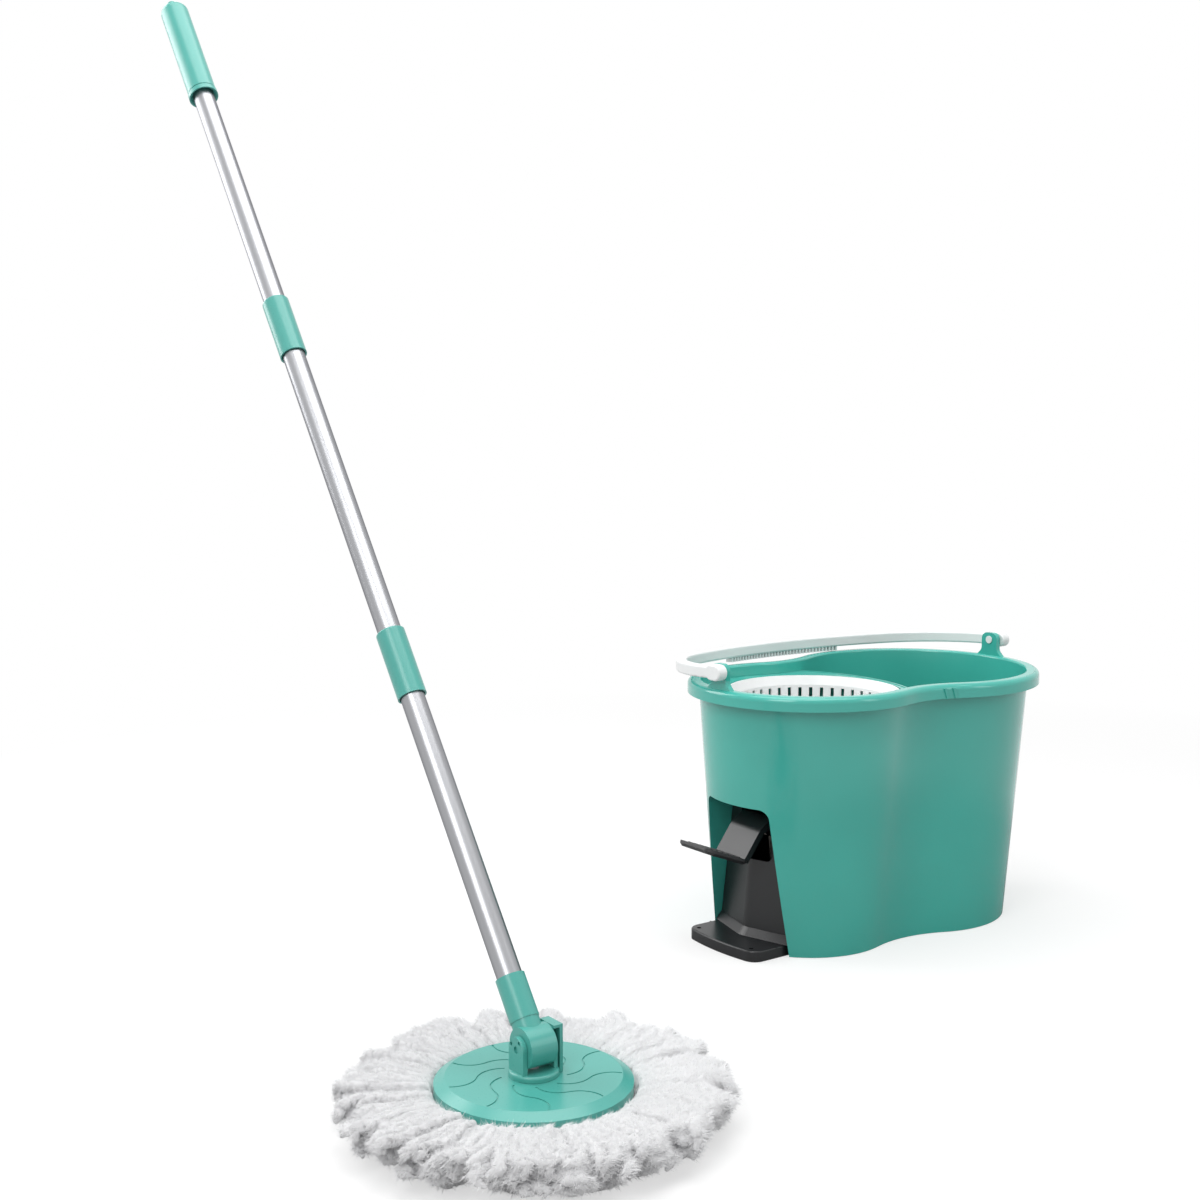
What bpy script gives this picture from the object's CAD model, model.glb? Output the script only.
from math import radians, tau

import bpy
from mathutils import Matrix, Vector


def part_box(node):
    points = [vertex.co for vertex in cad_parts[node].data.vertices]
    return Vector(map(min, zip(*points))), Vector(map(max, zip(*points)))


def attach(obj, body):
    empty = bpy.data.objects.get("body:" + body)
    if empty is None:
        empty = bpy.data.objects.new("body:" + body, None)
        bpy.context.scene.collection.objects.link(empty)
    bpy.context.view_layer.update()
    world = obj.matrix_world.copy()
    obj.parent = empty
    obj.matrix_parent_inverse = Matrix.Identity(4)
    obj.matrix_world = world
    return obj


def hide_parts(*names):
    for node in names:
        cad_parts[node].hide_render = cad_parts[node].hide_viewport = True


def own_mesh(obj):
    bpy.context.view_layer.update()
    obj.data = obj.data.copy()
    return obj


bl_info = {
    "name": "Spin mop set",
    "version": (1, 0, 0),
    "blender": (4, 5, 0),
    "location": "3D View > Sidebar > Spin mop",
    "description": "Dresses the packed spin mop: plastics, metal, yarn head and studio",
    "category": "Object",
}

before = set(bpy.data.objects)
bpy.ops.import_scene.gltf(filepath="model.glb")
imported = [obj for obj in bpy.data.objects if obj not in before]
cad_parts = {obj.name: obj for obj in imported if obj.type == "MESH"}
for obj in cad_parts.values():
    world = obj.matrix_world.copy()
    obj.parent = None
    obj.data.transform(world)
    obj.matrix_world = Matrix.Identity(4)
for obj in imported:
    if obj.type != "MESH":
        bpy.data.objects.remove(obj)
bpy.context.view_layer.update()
yarn_low, yarn_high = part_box("yarn_head")
disc_low, disc_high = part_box("mop_disc")
disc_radius = (disc_high[0] - disc_low[0]) / 2

# Room that yarn leaves to the disc's edge, to its underside and to the floor, in metres
EDGE_ROOM = 0.003
UNDER_ROOM = 0.002
FLOOR_ROOM = 0.0003
# Beside the disc nothing holds the yarn down: a height in metres that no strand reaches
OPEN_HEIGHT = 1.0

# Layers of yarn: name, height as a share of the head's, reach as a share of the head's
LAYERS = (("upper", 0.93, 0.97), ("middle", 0.72, 0.98), ("lower", 0.48, 0.95), ("under", 0.22, 0.84))
# Points along a strand and sides round it
STRAND_STEPS = 44
STRAND_SIDES = 10
# How strands differ: bearing in spacings between strands, length and height in shares
BEARINGS = (-0.45, 0.45)
LENGTHS = (0.86, 1.03)
HEIGHTS = (0.84, 1.0)
# How far out, how high and how thick a strand is along its length, in shares
OUTWARD = ((0.0, 0.0), (0.3, 0.33), (0.6, 0.68), (0.85, 0.94), (1.0, 1.0))
UPWARD = ((0.0, 0.5), (0.12, 0.6), (0.26, 0.92), (0.4, 0.98), (0.85, 1.0), (0.94, 0.92), (1.0, 0.72))
TAPER = ((0.0, 0.5), (0.25, 0.7), (0.6, 0.92), (0.85, 1.0), (0.96, 0.75), (1.0, 0.3))
# Locks: the ring on which their noise is read, its scale, and how far a lock drifts in radians
LOCK_RING = 2.6
LOCK_SCALE = 2.4
LOCK_DRIFT = 0.45
# Noise is read at a strand's bearing, place along it and length: for its own wander and for its pile
WANDER_SCALE = (90, 5, 60)
PILE_SCALE = (70, 22, 40)
# A tip's own swing in radians, and how far a strand is tossed up or down at its root and more at its tip
TIP_SWING = 0.26
ROOT_TOSS = 0.08
TIP_TOSS = 0.3
# The part of the pile's noise that counts, and the share of the thickness that it gives
PILE_BAND = (0.3, 0.7)
PILE_GIRTH = (0.86, 1.12)

# Loose fibres: room to the disc's edge in metres, and the lowest upward part of a surface that grows them
FIBRE_ROOM = 0.004
FIBRE_FACING = -0.4
# A fibre's direction: how much it strays, is combed outwards and stands up from its strand
FIBRE_STRAY = (0.8, 0.8, 0.6)
FIBRE_COMB = (0.8, 0.8, 0)
FIBRE_STAND = (0.75, 0.75, 0.75)
FIBRE_LENGTHS = (0.5, 1.2)
# A triangle in a circle of radius one is 1.5 long: this makes it a thin blade of length one on its foot
BLADE_SCALE = (0.667, 0.055, 1.0)
BLADE_FOOT = (0, 0, 0.333)


def linear(code):
    """An sRGB hex colour as linear red, green and blue, by the sRGB standard's own numbers."""
    parts = [int(code[at : at + 2], 16) / 255 for at in (1, 3, 5)]
    return [part / 12.92 if part <= 0.04045 else ((part + 0.055) / 1.055) ** 2.4 for part in parts]


def put(tree, kind, inputs=None, **settings):
    """Adds a node to a tree with its settings, then fills or links its inputs."""
    node = tree.nodes.new(kind)
    for name, value in settings.items():
        setattr(node, name, value)
    for name, value in (inputs or {}).items():
        if isinstance(value, bpy.types.NodeSocket):
            tree.links.new(value, node.inputs[name])
        else:
            node.inputs[name].default_value = value
    return node


def shaded(colour, factor):
    """A colour made darker or lighter, with an alpha of one."""
    return [min(1.0, part * factor) for part in colour] + [1.0]


def new_material(name):
    """An empty node material and its tree, replacing one of the same name."""
    old = bpy.data.materials.get(name)
    if old:
        bpy.data.materials.remove(old)
    material = bpy.data.materials.new(name)
    material.use_nodes = True
    material.node_tree.nodes.clear()
    return material, material.node_tree


class SpinMopColours(bpy.types.PropertyGroup):
    """Colours of the mouldings and the yarn."""

    bucket: bpy.props.FloatVectorProperty(
        name="Bucket",
        description="Green of the bucket and its deck",
        subtype="COLOR",
        default=linear("#41AC9F"),
    )
    fittings: bpy.props.FloatVectorProperty(
        name="Fittings",
        description="Green of the mop's disc and fittings",
        subtype="COLOR",
        default=linear("#4AA197"),
    )
    basket: bpy.props.FloatVectorProperty(
        name="Basket",
        description="White of the basket and bail",
        subtype="COLOR",
        default=linear("#E4E6E6"),
    )
    drive: bpy.props.FloatVectorProperty(
        name="Drive",
        description="Black of the pedal, tower and base",
        subtype="COLOR",
        default=linear("#1E1F21"),
    )
    yarn: bpy.props.FloatVectorProperty(
        name="Yarn",
        description="White of the microfibre yarn",
        subtype="COLOR",
        default=linear("#F1F1F2"),
    )


class SpinMopYarn(bpy.types.PropertyGroup):
    """Sizes of the yarn head."""

    strands: bpy.props.IntProperty(name="Strands", description="Strands in each layer", default=128, min=20)
    thickness: bpy.props.FloatProperty(
        name="Thickness", description="Half the width of a strand", default=0.0047, unit="LENGTH"
    )
    root: bpy.props.FloatProperty(
        name="Root", description="Distance of a strand's root from the axis", default=0.064, unit="LENGTH"
    )
    fuzz: bpy.props.FloatProperty(
        name="Fuzz", description="Fibres for each square metre of strand", default=560000.0, min=0.0
    )
    fibre: bpy.props.FloatProperty(
        name="Fibre", description="Length of a loose fibre", default=0.006, unit="LENGTH"
    )
    seed: bpy.props.IntProperty(name="Seed", description="Seed of the yarn's disorder", default=4)


class SpinMopStage(bpy.types.PropertyGroup):
    """Camera and studio."""

    eye: bpy.props.FloatVectorProperty(
        name="Eye",
        description="Place of the camera",
        subtype="TRANSLATION",
        default=(-1.3145, -1.3247, 0.5772),
    )
    pitch: bpy.props.FloatProperty(
        name="Pitch", description="How far the camera looks down", subtype="ANGLE", default=radians(6.46)
    )
    heading: bpy.props.FloatProperty(
        name="Heading", description="Turn of the camera from +Y", subtype="ANGLE", default=radians(-35.64)
    )
    lens: bpy.props.FloatProperty(name="Lens", description="Focal length in millimetres", default=49.13)
    daylight: bpy.props.FloatProperty(
        name="Daylight", description="Strength of the light from all round", default=0.5, min=0.0
    )


def moulded_plastic(name, colour, roughness, grain, relief, ior):
    """Injection-moulded plastic: a colour that clouds a little, a satin skin and a fine moulded grain."""
    material, tree = new_material(name)
    place = put(tree, "ShaderNodeTexCoord").outputs["Object"]
    cloud_size = 0.12
    clouds = put(tree, "ShaderNodeTexNoise", {"Vector": place, "Scale": 1 / cloud_size, "Detail": 2.0})
    tint = put(tree, "ShaderNodeValToRGB", {"Fac": clouds.outputs["Fac"]})
    # Where on the noise the darker and the lighter tone lie
    tones = ((0.3, 0.95), (0.7, 1.05))
    for stop, (at, tone) in zip(tint.color_ramp.elements, tones):
        stop.position = at
        stop.color = shaded(colour, tone)
    skin = put(
        tree, "ShaderNodeTexNoise", {"Vector": place, "Scale": 1 / grain, "Detail": 3.0}
    ).outputs["Fac"]
    gloss = put(
        tree,
        "ShaderNodeMapRange",
        {"Value": skin, "To Min": roughness * 0.94, "To Max": roughness * 1.06},
    )
    bump = put(tree, "ShaderNodeBump", {"Height": skin, "Strength": relief, "Distance": grain / 4})
    shader = put(
        tree,
        "ShaderNodeBsdfPrincipled",
        {
            "Base Color": tint.outputs["Color"],
            "Roughness": gloss.outputs["Result"],
            "Normal": bump.outputs["Normal"],
            "IOR": ior,
        },
    )
    put(tree, "ShaderNodeOutputMaterial", {"Surface": shader.outputs["BSDF"]})
    return material


def drawn_metal(name, code, roughness, mark_width, turn):
    """Metal with fine marks along one direction, so its highlights stretch across them."""
    material, tree = new_material(name)
    place = put(tree, "ShaderNodeTexCoord").outputs["Object"]
    mark_length = 0.08
    along = put(
        tree,
        "ShaderNodeMapping",
        {"Vector": place, "Rotation": turn, "Scale": (1 / mark_width, 1 / mark_width, 1 / mark_length)},
    )
    marks = put(
        tree, "ShaderNodeTexNoise", {"Vector": along.outputs["Vector"], "Scale": 1.0, "Detail": 3.0}
    ).outputs["Fac"]
    gloss = put(
        tree,
        "ShaderNodeMapRange",
        {"Value": marks, "To Min": roughness * 0.75, "To Max": roughness * 1.25},
    )
    bump = put(tree, "ShaderNodeBump", {"Height": marks, "Strength": 0.12, "Distance": 0.0001})
    shader = put(
        tree,
        "ShaderNodeBsdfPrincipled",
        {
            "Base Color": linear(code) + [1.0],
            "Metallic": 1.0,
            "Specular Tint": (0.4, 0.4, 0.42, 1.0),
            "Roughness": gloss.outputs["Result"],
            "Normal": bump.outputs["Normal"],
        },
    )
    put(tree, "ShaderNodeOutputMaterial", {"Surface": shader.outputs["BSDF"]})
    return material


def microfibre(name, colour):
    """Split polyester-polyamide yarn: dull white pile that scatters light, greyer where it is packed."""
    material, tree = new_material(name)
    place = put(tree, "ShaderNodeTexCoord").outputs["Object"]
    # The pile is about 1.5 mm across, and is drawn at 3 mm so that it shows
    pile_size = 0.003
    pile = put(
        tree,
        "ShaderNodeTexNoise",
        {"Vector": place, "Scale": 1 / pile_size, "Detail": 4.0, "Roughness": 0.65},
    ).outputs["Fac"]
    tint = put(tree, "ShaderNodeValToRGB", {"Fac": pile})
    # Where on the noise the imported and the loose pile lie, with their tones
    tones = ((0.3, 0.94), (0.6, 1.0))
    for stop, (at, tone) in zip(tint.color_ramp.elements, tones):
        stop.position = at
        stop.color = shaded(colour, tone)
    bump = put(tree, "ShaderNodeBump", {"Height": pile, "Strength": 0.12, "Distance": 0.0008})
    shader = put(
        tree,
        "ShaderNodeBsdfPrincipled",
        {
            "Base Color": tint.outputs["Color"],
            "Roughness": 0.95,
            "Normal": bump.outputs["Normal"],
            "IOR": 1.4,
            "Sheen Weight": 0.35,
            "Sheen Roughness": 0.6,
        },
    )
    # Light comes through the loose pile
    through = 0.3
    glow = put(tree, "ShaderNodeBsdfTranslucent", {"Color": tint.outputs["Color"]})
    mixed = put(tree, "ShaderNodeMixShader", {0: through, 1: shader.outputs["BSDF"], 2: glow.outputs["BSDF"]})
    put(tree, "ShaderNodeOutputMaterial", {"Surface": mixed.outputs[0]})
    return material


def dress(material, *nodes):
    """Gives CAD nodes one material."""
    for name in nodes:
        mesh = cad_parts[name].data
        mesh.materials.clear()
        mesh.materials.append(material)


class SPINMOP_OT_bucket(bpy.types.Operator):
    """Finishes the bucket and its splash deck in moulded green"""

    bl_idname = "spinmop.bucket"
    bl_label = "Bucket and deck"

    def execute(self, context):
        # Polypropylene from a polished tool: satin to glossy, with soft reflections of the studio
        green = moulded_plastic(
            "green polypropylene",
            list(context.scene.spinmop_colours.bucket),
            roughness=0.15,
            grain=0.0012,
            relief=0.03,
            ior=1.55,
        )
        dress(green, "bucket_shell", "splash_deck")
        return {"FINISHED"}


class SPINMOP_OT_basket(bpy.types.Operator):
    """Finishes the basket, its nut, the bail and the refill ring in moulded white"""

    bl_idname = "spinmop.basket"
    bl_label = "Basket and bail"

    def execute(self, context):
        # Polypropylene from a plain tool: white and satin, with broad soft highlights
        white = moulded_plastic(
            "white polypropylene",
            list(context.scene.spinmop_colours.basket),
            roughness=0.34,
            grain=0.0012,
            relief=0.05,
            ior=1.49,
        )
        dress(white, "spin_basket", "basket_nut", "bail_handle", "refill_ring")
        return {"FINISHED"}


class SPINMOP_OT_drive(bpy.types.Operator):
    """Finishes the pedal, tower and base in black, and the gears, axles and screws inside them"""

    bl_idname = "spinmop.drive"
    bl_label = "Pedal and drive"

    def execute(self, context):
        # Recycled polypropylene from an eroded tool: dull black with a fine grain, drawn at 0.9 mm to show
        black = moulded_plastic(
            "black polypropylene",
            list(context.scene.spinmop_colours.drive),
            roughness=0.34,
            grain=0.0009,
            relief=0.2,
            ior=1.5,
        )
        dress(black, "drive_tower", "base_plate", "foot_pedal", "lower_joint_plug", "upper_joint_plug")
        # Acetal: dense, waxy and off-white
        acetal = moulded_plastic(
            "acetal", linear("#E4E1D8"), roughness=0.4, grain=0.001, relief=0.04, ior=1.48
        )
        dress(acetal, "lower_bush", "upper_bush", "thrust_washer", "sector_gear")
        dress(acetal, "drive_pinion", "crown_wheel", "crown_pinion")
        # Nitrile rubber: soft black with no shine
        nitrile = moulded_plastic(
            "nitrile rubber", linear("#1C1C1C"), roughness=0.75, grain=0.0008, relief=0.15, ior=1.52
        )
        dress(nitrile, "shaft_seal")
        # Zinc-plated steel: bright grey with drawing marks along the wire
        steel = drawn_metal("zinc-plated steel", "#C6C8CA", roughness=0.3, mark_width=0.0008, turn=(0, 0, 0))
        dress(steel, "base_screws", "tower_screws", "pedal_axle", "return_spring", "cross_axle")
        dress(steel, "output_shaft", "shaft_clip", "one_way_clutch", "swivel_bolt", "swivel_washer")
        # The return spring shortens towards the tower's roof as the pedal goes down
        coil = bpy.data.objects.new("return_spring_coil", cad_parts["return_spring"].data.copy())
        context.scene.collection.objects.link(coil)
        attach(coil, "bucket")
        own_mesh(coil)
        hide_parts("return_spring")
        return {"FINISHED"}


class SPINMOP_OT_handle(bpy.types.Operator):
    """Finishes the handle's tubes in satin aluminium and the mop's fittings in pale green"""

    bl_idname = "spinmop.handle"
    bl_label = "Handle and fittings"

    def execute(self, context):
        # Polypropylene from a plain tool: satin, so the round fittings look paler along one side
        green = moulded_plastic(
            "pale green polypropylene",
            list(context.scene.spinmop_colours.fittings),
            roughness=0.28,
            grain=0.0012,
            relief=0.02,
            ior=1.55,
        )
        dress(green, "mop_disc", "swivel_yoke", "tilt_pin", "knuckle_socket")
        dress(green, "lower_connector", "upper_connector", "hand_grip")
        # Anodised aluminium tube: satin, with marks along its length that are drawn 0.6 mm wide to show
        handle_lean = radians(36.8)
        tube = drawn_metal(
            "anodised aluminium", "#A2A3A6", roughness=0.33, mark_width=0.0006, turn=(handle_lean, 0, 0)
        )
        dress(tube, "lower_tube", "middle_tube", "upper_tube")
        return {"FINISHED"}


def new_tree(name, kinds):
    """An empty Geometry Nodes tree with named inputs and one mesh out, and the sockets of its inputs."""
    tree = bpy.data.node_groups.new(name, "GeometryNodeTree")
    for label, kind in kinds.items():
        tree.interface.new_socket(label, in_out="INPUT", socket_type=kind)
    tree.interface.new_socket("Mesh", in_out="OUTPUT", socket_type="NodeSocketGeometry")
    return tree, put(tree, "NodeGroupInput").outputs


def lay_strands(tree, given):
    """Straight strands of length one, each with its bearing, length and loft kept as attributes."""
    roots = put(tree, "GeometryNodePoints", {"Count": given["Strands"]}).outputs[0]
    line = put(tree, "GeometryNodeCurvePrimitiveLine", {"End": (1, 0, 0)}).outputs["Curve"]
    strand = put(tree, "GeometryNodeResampleCurve", {"Curve": line, "Count": STRAND_STEPS}).outputs["Curve"]
    laid = put(
        tree, "GeometryNodeInstanceOnPoints", {"Points": roots, "Instance": strand}
    ).outputs["Instances"]
    index = put(tree, "GeometryNodeInputIndex").outputs["Index"]
    jitter = put(
        tree,
        "FunctionNodeRandomValue",
        {2: BEARINGS[0], 3: BEARINGS[1], "Seed": given["Seed"]},
        data_type="FLOAT",
    ).outputs[1]
    shifted = put(tree, "ShaderNodeMath", {0: index, 1: jitter}, operation="ADD").outputs[0]
    share = put(tree, "ShaderNodeMath", {0: shifted, 1: given["Strands"]}, operation="DIVIDE").outputs[0]
    angle = put(tree, "ShaderNodeMath", {0: share, 1: tau}, operation="MULTIPLY").outputs[0]
    length = put(
        tree,
        "FunctionNodeRandomValue",
        {2: LENGTHS[0], 3: LENGTHS[1], "Seed": given["Seed"]},
        data_type="FLOAT",
    ).outputs[1]
    loft = put(
        tree,
        "FunctionNodeRandomValue",
        {2: HEIGHTS[0], 3: HEIGHTS[1], "Seed": given["Seed"], "ID": shifted},
        data_type="FLOAT",
    ).outputs[1]
    for name, value in (("angle", angle), ("length", length), ("loft", loft)):
        laid = put(
            tree,
            "GeometryNodeStoreNamedAttribute",
            {"Geometry": laid, "Name": name, "Value": value},
            data_type="FLOAT",
            domain="INSTANCE",
        ).outputs["Geometry"]
    return put(tree, "GeometryNodeRealizeInstances", {"Geometry": laid}).outputs["Geometry"]


def strand_tree():
    """Geometry nodes for one layer of yarn: strands that leave the disc, swell, wander and droop."""
    tree, given = new_tree(
        "yarn strands",
        {
            "Strands": "NodeSocketInt",
            "Root": "NodeSocketFloat",
            "Reach": "NodeSocketFloat",
            "Thickness": "NodeSocketFloat",
            "Crown": "NodeSocketFloat",
            "Seed": "NodeSocketInt",
            "Centre": "NodeSocketVector",
            "Material": "NodeSocketMaterial",
        },
    )
    curves = lay_strands(tree, given)
    around, length, loft = [
        put(tree, "GeometryNodeInputNamedAttribute", {"Name": name}, data_type="FLOAT").outputs["Attribute"]
        for name in ("angle", "length", "loft")
    ]
    along = put(tree, "GeometryNodeSplineParameter").outputs["Factor"]
    late = put(tree, "ShaderNodeMath", {0: along, 1: along}, operation="MULTIPLY").outputs[0]
    shapes = []
    for points in (OUTWARD, UPWARD, TAPER):
        course = put(tree, "ShaderNodeFloatCurve", {"Value": along})
        knots = course.mapping.curves[0].points
        knots[0].location = points[0]
        knots[1].location = points[-1]
        for point in points[1:-1]:
            knots.new(*point)
        course.mapping.update()
        shapes.append(course.outputs[0])
    out, up, taper = shapes

    # Neighbours drift together in locks
    compass = put(
        tree, "ShaderNodeVectorRotate", {"Vector": (LOCK_RING, 0, 0), "Angle": around}, rotation_type="Z_AXIS"
    ).outputs["Vector"]
    outwards = put(tree, "ShaderNodeCombineXYZ", {"Z": along}).outputs["Vector"]
    lock_at = put(tree, "ShaderNodeVectorMath", {0: compass, 1: outwards}, operation="ADD").outputs["Vector"]
    lock = put(
        tree, "ShaderNodeTexNoise", {"Vector": lock_at, "Scale": LOCK_SCALE, "Detail": 1.0}
    ).outputs["Fac"]
    lock = put(tree, "ShaderNodeMath", {0: lock, 1: 0.5}, operation="SUBTRACT").outputs[0]
    drift = put(tree, "ShaderNodeMath", {0: lock, 1: LOCK_DRIFT}, operation="MULTIPLY").outputs[0]
    lean = put(tree, "ShaderNodeMath", {0: drift, 1: along, 2: around}, operation="MULTIPLY_ADD").outputs[0]

    # Each strand also wanders by itself, most at its tip
    own_at = put(tree, "ShaderNodeCombineXYZ", {"X": around, "Y": along, "Z": length}).outputs["Vector"]
    wander_at = put(
        tree, "ShaderNodeVectorMath", {0: own_at, 1: WANDER_SCALE}, operation="MULTIPLY"
    ).outputs["Vector"]
    own = put(tree, "ShaderNodeTexNoise", {"Vector": wander_at}).outputs["Fac"]
    wander = put(tree, "ShaderNodeMath", {0: own, 1: 0.5}, operation="SUBTRACT").outputs[0]
    swing = put(tree, "ShaderNodeMath", {0: wander, 1: TIP_SWING}, operation="MULTIPLY").outputs[0]
    bearing = put(tree, "ShaderNodeMath", {0: swing, 1: late, 2: lean}, operation="MULTIPLY_ADD").outputs[0]
    toss = put(
        tree, "ShaderNodeMath", {0: late, 1: TIP_TOSS, 2: ROOT_TOSS}, operation="MULTIPLY_ADD"
    ).outputs[0]

    # Distance from the axis, height and bearing give each point its place
    tip = put(tree, "ShaderNodeMath", {0: given["Reach"], 1: length}, operation="MULTIPLY").outputs[0]
    radius = put(
        tree, "ShaderNodeMapRange", {"Value": out, "To Min": given["Root"], "To Max": tip}
    ).outputs[0]
    arch = put(tree, "ShaderNodeMath", {0: up, 1: loft}, operation="MULTIPLY").outputs[0]
    swell = put(tree, "ShaderNodeMath", {0: wander, 1: toss, 2: arch}, operation="MULTIPLY_ADD").outputs[0]
    level = put(tree, "ShaderNodeMath", {0: swell, 1: given["Crown"]}, operation="MULTIPLY").outputs[0]
    level = put(tree, "ShaderNodeMath", {0: level, 1: given["Thickness"]}, operation="MAXIMUM").outputs[0]
    spoke = put(tree, "ShaderNodeCombineXYZ", {"X": radius, "Z": level}).outputs["Vector"]
    turned = put(
        tree, "ShaderNodeVectorRotate", {"Vector": spoke, "Angle": bearing}, rotation_type="Z_AXIS"
    ).outputs["Vector"]
    bent = put(tree, "GeometryNodeSetPosition", {"Geometry": curves, "Position": turned}).outputs["Geometry"]

    # Chenille pile swells and thins along a strand, and the tip is rounded
    pile_at = put(
        tree, "ShaderNodeVectorMath", {0: own_at, 1: PILE_SCALE}, operation="MULTIPLY"
    ).outputs["Vector"]
    pile = put(tree, "ShaderNodeTexNoise", {"Vector": pile_at, "Detail": 1.0}).outputs["Fac"]
    bulk = put(
        tree,
        "ShaderNodeMapRange",
        {
            "Value": pile,
            "From Min": PILE_BAND[0],
            "From Max": PILE_BAND[1],
            "To Min": PILE_GIRTH[0],
            "To Max": PILE_GIRTH[1],
        },
    ).outputs[0]
    girth = put(tree, "ShaderNodeMath", {0: bulk, 1: taper}, operation="MULTIPLY").outputs[0]
    girth = put(tree, "ShaderNodeMath", {0: girth, 1: given["Thickness"]}, operation="MULTIPLY").outputs[0]
    ring = put(
        tree, "GeometryNodeCurvePrimitiveCircle", {"Resolution": STRAND_SIDES, "Radius": 1.0}
    ).outputs["Curve"]
    tubes = put(
        tree,
        "GeometryNodeCurveToMesh",
        {"Curve": bent, "Profile Curve": ring, "Scale": girth, "Fill Caps": True},
    ).outputs["Mesh"]
    smooth = put(tree, "GeometryNodeSetShadeSmooth", {"Geometry": tubes}).outputs["Geometry"]
    finish_yarn(tree, smooth, given)
    return tree


def fuzz_tree():
    """Geometry nodes for the loose fibres that stand out of the strands, one thin blade each."""
    tree, given = new_tree(
        "yarn fuzz",
        {
            "Yarn": "NodeSocketGeometry",
            "Density": "NodeSocketFloat",
            "Fibre": "NodeSocketFloat",
            "Seed": "NodeSocketInt",
            "Centre": "NodeSocketVector",
            "Material": "NodeSocketMaterial",
        },
    )
    back = put(
        tree, "ShaderNodeVectorMath", {0: given["Centre"], "Scale": -1.0}, operation="SCALE"
    ).outputs["Vector"]
    centred = put(
        tree, "GeometryNodeTransform", {"Geometry": given["Yarn"], "Translation": back}
    ).outputs["Geometry"]

    # Fibres grow where a strand faces up or sideways, but not under the disc or against its edge
    normal = put(tree, "GeometryNodeInputNormal").outputs["Normal"]
    facing = put(tree, "ShaderNodeSeparateXYZ", {0: normal}).outputs["Z"]
    upper = put(
        tree, "FunctionNodeCompare", {0: facing, 1: FIBRE_FACING}, operation="GREATER_THAN"
    ).outputs[0]
    place = put(tree, "GeometryNodeInputPosition").outputs["Position"]
    flat = put(tree, "ShaderNodeVectorMath", {0: place, 1: (1, 1, 0)}, operation="MULTIPLY").outputs["Vector"]
    away = put(tree, "ShaderNodeVectorMath", {0: flat}, operation="LENGTH").outputs["Value"]
    beyond = put(
        tree, "FunctionNodeCompare", {0: away, 1: disc_radius + FIBRE_ROOM}, operation="GREATER_THAN"
    ).outputs[0]
    open_side = put(tree, "FunctionNodeBooleanMath", {0: upper, 1: beyond}, operation="AND").outputs[0]
    spots = put(
        tree,
        "GeometryNodeDistributePointsOnFaces",
        {"Mesh": centred, "Selection": open_side, "Density": given["Density"], "Seed": given["Seed"]},
    ).outputs

    # They are combed outwards and stand up a little, each its own way
    outward = put(tree, "ShaderNodeVectorMath", {0: flat}, operation="NORMALIZE").outputs["Vector"]
    stray = put(
        tree,
        "FunctionNodeRandomValue",
        {0: [-part for part in FIBRE_STRAY], 1: FIBRE_STRAY, "Seed": given["Seed"]},
        data_type="FLOAT_VECTOR",
    ).outputs[0]
    combed = put(
        tree, "ShaderNodeVectorMath", {0: outward, 1: FIBRE_COMB, 2: stray}, operation="MULTIPLY_ADD"
    ).outputs["Vector"]
    risen = put(
        tree,
        "ShaderNodeVectorMath",
        {0: spots["Normal"], 1: FIBRE_STAND, 2: combed},
        operation="MULTIPLY_ADD",
    ).outputs["Vector"]
    tilt = put(tree, "FunctionNodeAlignRotationToVector", {"Vector": risen}, axis="Z").outputs[0]
    size = put(
        tree,
        "FunctionNodeRandomValue",
        {2: FIBRE_LENGTHS[0], 3: FIBRE_LENGTHS[1], "Seed": given["Seed"]},
        data_type="FLOAT",
    ).outputs[1]
    tall = put(tree, "ShaderNodeMath", {0: size, 1: given["Fibre"]}, operation="MULTIPLY").outputs[0]
    blade = put(
        tree, "GeometryNodeMeshCircle", {"Vertices": 3, "Radius": 1.0}, fill_type="NGON"
    ).outputs["Mesh"]
    thin = put(tree, "GeometryNodeTransform", {"Geometry": blade, "Scale": BLADE_SCALE}).outputs["Geometry"]
    upright = put(
        tree,
        "GeometryNodeTransform",
        {"Geometry": thin, "Rotation": (0, radians(-90), 0), "Translation": BLADE_FOOT},
    ).outputs["Geometry"]
    pile = put(
        tree,
        "GeometryNodeInstanceOnPoints",
        {"Points": spots["Points"], "Instance": upright, "Rotation": tilt, "Scale": tall},
    ).outputs["Instances"]
    finish_yarn(tree, pile, given)
    return tree


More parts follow.
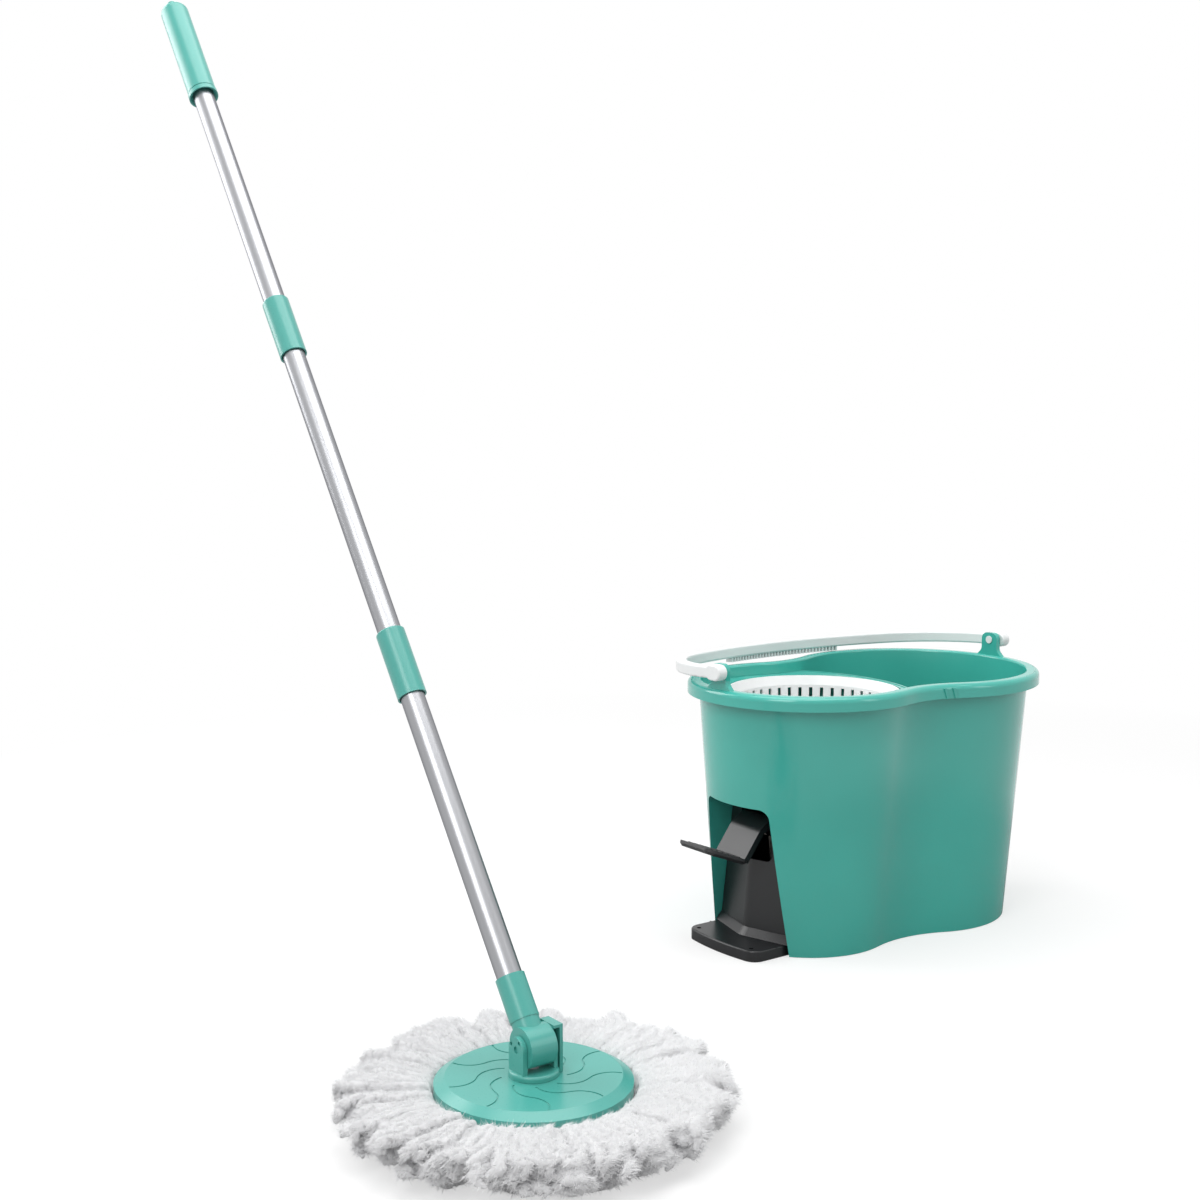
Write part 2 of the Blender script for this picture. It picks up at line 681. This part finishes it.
def finish_yarn(tree, geometry, given):
    """Keeps yarn above the floor and below the disc, moves it to the mop and gives it its material."""
    place = put(tree, "GeometryNodeInputPosition").outputs["Position"]
    height = put(tree, "ShaderNodeSeparateXYZ", {0: place}).outputs["Z"]
    flat = put(tree, "ShaderNodeVectorMath", {0: place, 1: (1, 1, 0)}, operation="MULTIPLY").outputs["Vector"]
    away = put(tree, "ShaderNodeVectorMath", {0: flat}, operation="LENGTH").outputs["Value"]
    under = put(
        tree, "ShaderNodeMath", {0: away, 1: disc_radius + EDGE_ROOM}, operation="LESS_THAN"
    ).outputs[0]
    ceiling = put(
        tree,
        "ShaderNodeMapRange",
        {"Value": under, "To Min": OPEN_HEIGHT, "To Max": disc_low[2] - UNDER_ROOM},
    ).outputs[0]
    lowered = put(tree, "ShaderNodeMath", {0: height, 1: ceiling}, operation="MINIMUM").outputs[0]
    level = put(tree, "ShaderNodeMath", {0: lowered, 1: FLOOR_ROOM}, operation="MAXIMUM").outputs[0]
    raised = put(tree, "ShaderNodeCombineXYZ", {"Z": level}).outputs["Vector"]
    kept = put(tree, "ShaderNodeVectorMath", {0: flat, 1: raised}, operation="ADD").outputs["Vector"]
    moved = put(
        tree, "ShaderNodeVectorMath", {0: kept, 1: given["Centre"]}, operation="ADD"
    ).outputs["Vector"]
    joined = put(tree, "GeometryNodeRealizeInstances", {"Geometry": geometry}).outputs["Geometry"]
    placed = put(tree, "GeometryNodeSetPosition", {"Geometry": joined, "Position": moved}).outputs["Geometry"]
    dressed = put(
        tree, "GeometryNodeSetMaterial", {"Geometry": placed, "Material": given["Material"]}
    ).outputs["Geometry"]
    put(tree, "NodeGroupOutput", {0: dressed})


def grow(name, tree, start, values):
    """Runs a node tree on a mesh with its named inputs and returns the result as a plain object."""
    carrier = bpy.data.objects.new(name, start)
    bpy.context.scene.collection.objects.link(carrier)
    modifier = carrier.modifiers.new(name, "NODES")
    modifier.node_group = tree
    for item in tree.interface.items_tree:
        if item.in_out == "INPUT" and item.name in values:
            modifier[item.identifier] = values[item.name]
    ready = carrier.evaluated_get(bpy.context.evaluated_depsgraph_get())
    mesh = bpy.data.meshes.new_from_object(ready)
    bpy.data.objects.remove(carrier)
    mesh.name = name
    result = bpy.data.objects.new(name, mesh)
    bpy.context.scene.collection.objects.link(result)
    return result


class SPINMOP_OT_yarn(bpy.types.Operator):
    """Grows the yarn head: layers of chenille strands with loose fibres, in place of the plain solid"""

    bl_idname = "spinmop.yarn"
    bl_label = "Yarn head"

    def execute(self, context):
        sizes = context.scene.spinmop_yarn
        white = microfibre("microfibre yarn", list(context.scene.spinmop_colours.yarn))
        middle = (yarn_low + yarn_high) / 2
        reach = (yarn_high[0] - yarn_low[0]) / 2
        strands = strand_tree()
        fuzz = fuzz_tree()
        for offset, (layer, rise, span) in enumerate(LAYERS):
            values = {
                "Strands": sizes.strands,
                "Root": sizes.root,
                "Reach": reach * span,
                "Thickness": sizes.thickness,
                "Crown": rise * (yarn_high[2] - yarn_low[2]),
                "Density": sizes.fuzz,
                "Fibre": sizes.fibre,
                "Seed": sizes.seed + offset,
                "Centre": (middle[0], middle[1], 0.0),
                "Material": white,
            }
            yarn = grow(f"yarn_{layer}_strands", strands, bpy.data.meshes.new("start"), values)
            pile = grow(f"yarn_{layer}_fuzz", fuzz, yarn.data, values)
            for piece in (yarn, pile):
                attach(piece, "mop_head")
            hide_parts("yarn_head")
        return {"FINISHED"}


def set_camera(scene, stage):
    """Places the camera where the photograph was taken from."""
    camera = bpy.data.objects.new("camera", bpy.data.cameras.new("camera"))
    camera.data.sensor_width = 36.0
    camera.data.lens = stage.lens
    camera.location = stage.eye
    camera.rotation_euler = (radians(90) - stage.pitch, 0, stage.heading)
    scene.collection.objects.link(camera)
    scene.camera = camera


def surround(scene, daylight):
    """A world that looks white, also in reflections, and lights the object less than it shows."""
    world = bpy.data.worlds.new("studio")
    world.use_nodes = True
    tree = world.node_tree
    tree.nodes.clear()
    path = put(tree, "ShaderNodeLightPath").outputs
    seen = path["Is Camera Ray"]
    for ray in ("Is Glossy Ray", "Is Transmission Ray"):
        seen = put(tree, "ShaderNodeMath", {0: seen, 1: path[ray]}, operation="MAXIMUM").outputs[0]
    glow = put(tree, "ShaderNodeMapRange", {"Value": seen, "To Min": daylight, "To Max": 1.0})
    sky = put(tree, "ShaderNodeBackground", {"Color": (1, 1, 1, 1), "Strength": glow.outputs[0]})
    put(tree, "ShaderNodeOutputWorld", {"Surface": sky.outputs[0]})
    scene.world = world


def studio_sweep():
    """Painted studio floor: white, and lit to white away from the object so that only its shadow shows."""
    # Distances from the origin, in metres, over which the floor turns white to the eye and in reflections
    fade_from, fade_to = 0.8, 1.6
    mirror_from, mirror_to = 0.5, 0.68
    # Share of white near the object, and the paint's own white as it lights the object and as it is seen
    near_white = 0.6
    lighting_white, seen_white = 0.45, 0.9
    sweep, tree = new_material("white studio sweep")
    path = put(tree, "ShaderNodeLightPath").outputs
    seen = put(
        tree,
        "ShaderNodeMath",
        {0: path["Is Camera Ray"], 1: path["Is Transmission Ray"]},
        operation="MAXIMUM",
    ).outputs[0]
    place = put(tree, "ShaderNodeTexCoord").outputs["Object"]
    away = put(tree, "ShaderNodeVectorMath", {0: place}, operation="LENGTH").outputs["Value"]
    fade = put(
        tree,
        "ShaderNodeMapRange",
        {"Value": away, "From Min": fade_from, "From Max": fade_to, "To Min": near_white, "To Max": 1.0},
    ).outputs[0]
    far = put(
        tree, "ShaderNodeMapRange", {"Value": away, "From Min": mirror_from, "From Max": mirror_to}
    ).outputs[0]
    shown = put(tree, "ShaderNodeMath", {0: seen, 1: fade}, operation="MULTIPLY").outputs[0]
    mirrored = put(
        tree, "ShaderNodeMath", {0: path["Is Glossy Ray"], 1: far}, operation="MULTIPLY"
    ).outputs[0]
    blank = put(tree, "ShaderNodeMath", {0: shown, 1: mirrored}, operation="MAXIMUM").outputs[0]
    paint = put(
        tree, "ShaderNodeMapRange", {"Value": seen, "To Min": lighting_white, "To Max": seen_white}
    ).outputs[0]
    matte = put(tree, "ShaderNodeBsdfDiffuse", {"Color": paint}).outputs[0]
    white = put(tree, "ShaderNodeEmission", {"Color": (1, 1, 1, 1), "Strength": 1.0}).outputs[0]
    mixed = put(tree, "ShaderNodeMixShader", {0: blank, 1: matte, 2: white}).outputs[0]
    put(tree, "ShaderNodeOutputMaterial", {"Surface": mixed})
    return sweep


def lamp(name, place, size, power):
    """A softbox at a place, aimed at the middle of the set."""
    aim = Vector((-0.2, -0.1, 0.3))
    light = bpy.data.lights.new(name, "AREA")
    light.shape = "RECTANGLE"
    light.size, light.size_y = size
    light.energy = power
    lit = bpy.data.objects.new(name, light)
    lit.location = place
    lit.rotation_euler = (aim - Vector(place)).to_track_quat("-Z", "Y").to_euler()
    bpy.context.scene.collection.objects.link(lit)


class SPINMOP_OT_stage(bpy.types.Operator):
    """Sets up the camera, the white floor and the soft studio light"""

    bl_idname = "spinmop.stage"
    bl_label = "Stage"

    def execute(self, context):
        scene = context.scene
        set_camera(scene, scene.spinmop_stage)
        surround(scene, scene.spinmop_stage.daylight)

        half = 30.0
        drop = 0.0005
        corners = [(-half, -half, 0), (half, -half, 0), (half, half, 0), (-half, half, 0)]
        mesh = bpy.data.meshes.new("floor")
        mesh.from_pydata(corners, [], [(0, 1, 2, 3)])
        mesh.materials.append(studio_sweep())
        floor = bpy.data.objects.new("floor", mesh)
        floor.location.z = -drop
        scene.collection.objects.link(floor)

        lamp("key softbox", place=(-2.1, -0.9, 1.8), size=(1.0, 1.4), power=20)
        lamp("fill softbox", place=(0.9, -2.2, 1.3), size=(0.7, 1.3), power=6)
        lamp("top softbox", place=(-0.2, -0.2, 2.6), size=(2.2, 2.2), power=46)
        lamp("rim softbox", place=(-1.3, 1.5, 1.3), size=(0.9, 1.4), power=18)
        scene.view_settings.view_transform = "Standard"
        return {"FINISHED"}


class SPINMOP_PT_panel(bpy.types.Panel):
    """Lists the set's pieces and their sizes"""

    bl_idname = "SPINMOP_PT_panel"
    bl_label = "Spin mop set"
    bl_space_type = "VIEW_3D"
    bl_region_type = "UI"
    bl_category = "Spin mop"

    def draw(self, context):
        scene = context.scene
        for operator in PIECES:
            self.layout.operator(operator.bl_idname)
        for group in (scene.spinmop_colours, scene.spinmop_yarn, scene.spinmop_stage):
            box = self.layout.box()
            for name in group.__annotations__:
                box.prop(group, name)


GROUPS = {"spinmop_colours": SpinMopColours, "spinmop_yarn": SpinMopYarn, "spinmop_stage": SpinMopStage}
PIECES = (
    SPINMOP_OT_bucket,
    SPINMOP_OT_basket,
    SPINMOP_OT_drive,
    SPINMOP_OT_handle,
    SPINMOP_OT_yarn,
    SPINMOP_OT_stage,
)


def register():
    for name, group in GROUPS.items():
        bpy.utils.register_class(group)
        setattr(bpy.types.Scene, name, bpy.props.PointerProperty(type=group))
    for piece in PIECES:
        bpy.utils.register_class(piece)
    bpy.utils.register_class(SPINMOP_PT_panel)


def unregister():
    bpy.utils.unregister_class(SPINMOP_PT_panel)
    for piece in reversed(PIECES):
        bpy.utils.unregister_class(piece)
    for name, group in GROUPS.items():
        delattr(bpy.types.Scene, name)
        bpy.utils.unregister_class(group)


def main():
    register()
    bpy.ops.spinmop.bucket()
    bpy.ops.spinmop.basket()
    bpy.ops.spinmop.drive()
    bpy.ops.spinmop.handle()
    bpy.ops.spinmop.yarn()
    bpy.ops.spinmop.stage()


if __name__ == "__main__":
    main()
